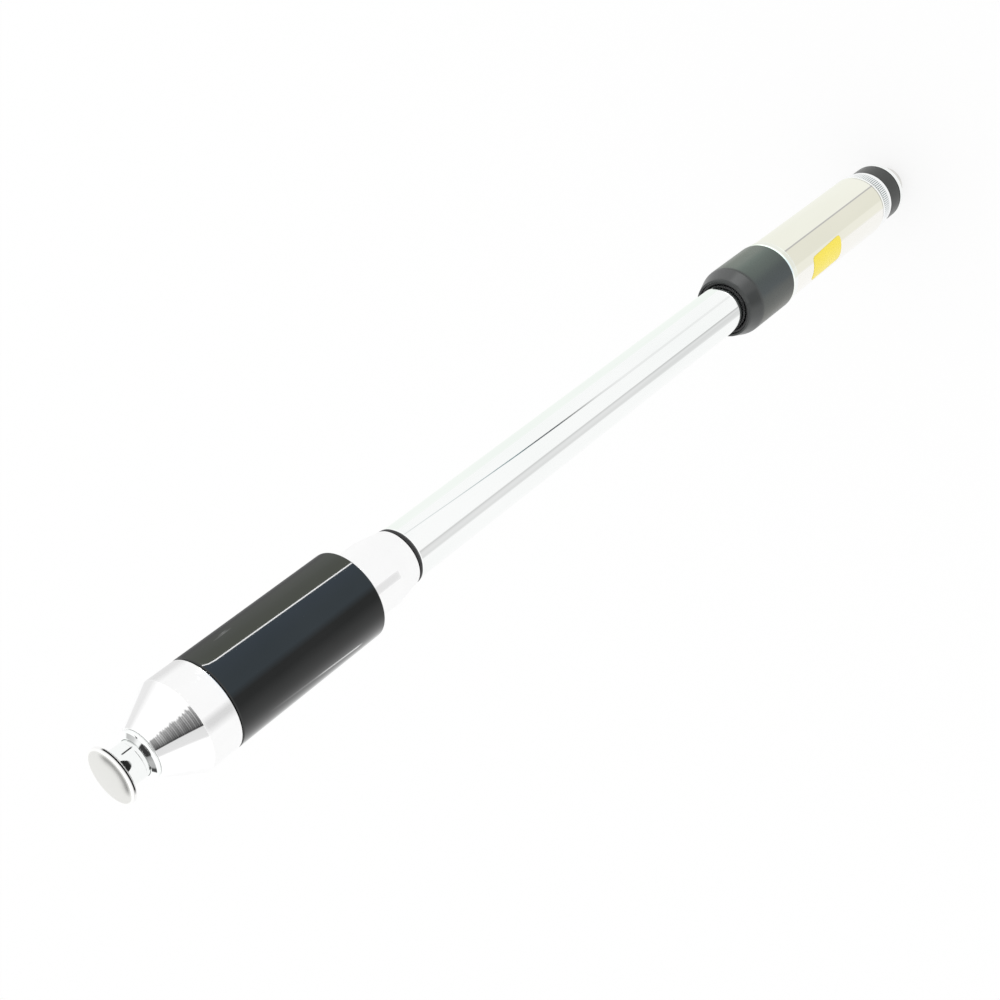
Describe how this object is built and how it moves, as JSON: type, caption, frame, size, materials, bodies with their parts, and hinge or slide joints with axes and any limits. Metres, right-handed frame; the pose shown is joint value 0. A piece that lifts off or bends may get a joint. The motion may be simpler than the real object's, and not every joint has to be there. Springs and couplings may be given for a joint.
{
  "type": "telescopic antenna",
  "caption": "Portable telescopic whip antenna with a covered loading coil, a sliding tuning tube, a plastic collar, a base tube and a screw-on coaxial plug.",
  "frame": {"origin": "on the axis, in the plane where the plug's shoulder seats on a socket", "axes": "+Z along the antenna from the plug up to the tip button; X and Y are square to it"},
  "size_m": [0.035, 0.035, 0.5212],
  "materials": {
    "nickel": "nickel plated",
    "chrome": "mirror polished",
    "warm_chrome": "polished, slightly warm",
    "aluminium": "turned, fine grooves",
    "satin_aluminium": "satin",
    "brass": "plain",
    "copper": "plain",
    "black_plastic": "fine matte",
    "gloss_sleeve": "glossy",
    "black_rubber": "smooth",
    "white_plastic": "plain"
  },
  "bodies": {
    "base": {"plug_shell": "nickel", "plug_insulator": "white_plastic", "centre_pin": "nickel", "end_ring": "chrome", "base_insulator": "black_plastic", "knurled_base": "aluminium", "base_tube": "warm_chrome", "front_ring": "chrome", "collar": "black_plastic", "wiper_ring": "black_rubber", "contact_ring": "copper"},
    "nut": {"coupling_nut": "nickel"},
    "slide": {"slider_tube": "chrome", "stop_ring": "brass", "joint_washer": "black_rubber", "ferrule": "aluminium", "coil_former": "white_plastic", "coil_winding": "copper", "coil_sleeve": "gloss_sleeve", "cone_cap": "aluminium", "whip_collar": "chrome", "whip_section_1": "chrome", "whip_stop": "brass"},
    "whip_2": {"whip_section_2": "chrome", "whip_bush_2": "brass"},
    "whip_3": {"whip_section_3": "chrome", "whip_bush_3": "brass"},
    "whip_4": {"whip_section_4": "chrome", "whip_bush_4": "brass"},
    "whip_5": {"whip_section_5": "chrome", "whip_bush_5": "brass"},
    "whip_6": {"whip_section_6": "chrome", "whip_bush_6": "brass"},
    "whip_tip": {"whip_section_7": "chrome", "whip_bush_7": "brass", "tip_button": "satin_aluminium"}
  },
  "joints": [
    {"name": "coupling_nut_turn", "type": "hinge", "parent": "base", "child": "nut", "pos_m": [0, 0, 0], "axis": [0, 0, -1], "continuous": true},
    {"name": "tuning_slide", "type": "slide", "parent": "base", "child": "slide", "axis": [0, 0, 1], "range_m": [-0.057, 0]},
    {"name": "whip_slide_2", "type": "slide", "parent": "slide", "child": "whip_2", "axis": [0, 0, 1], "range_m": [0, 0.289]},
    {"name": "whip_slide_3", "type": "slide", "parent": "whip_2", "child": "whip_3", "axis": [0, 0, 1], "range_m": [0, 0.281]},
    {"name": "whip_slide_4", "type": "slide", "parent": "whip_3", "child": "whip_4", "axis": [0, 0, 1], "range_m": [0, 0.273]},
    {"name": "whip_slide_5", "type": "slide", "parent": "whip_4", "child": "whip_5", "axis": [0, 0, 1], "range_m": [0, 0.265]},
    {"name": "whip_slide_6", "type": "slide", "parent": "whip_5", "child": "whip_6", "axis": [0, 0, 1], "range_m": [0, 0.256]},
    {"name": "whip_slide_tip", "type": "slide", "parent": "whip_6", "child": "whip_tip", "axis": [0, 0, 1], "range_m": [0, 0.247]}
  ]
}
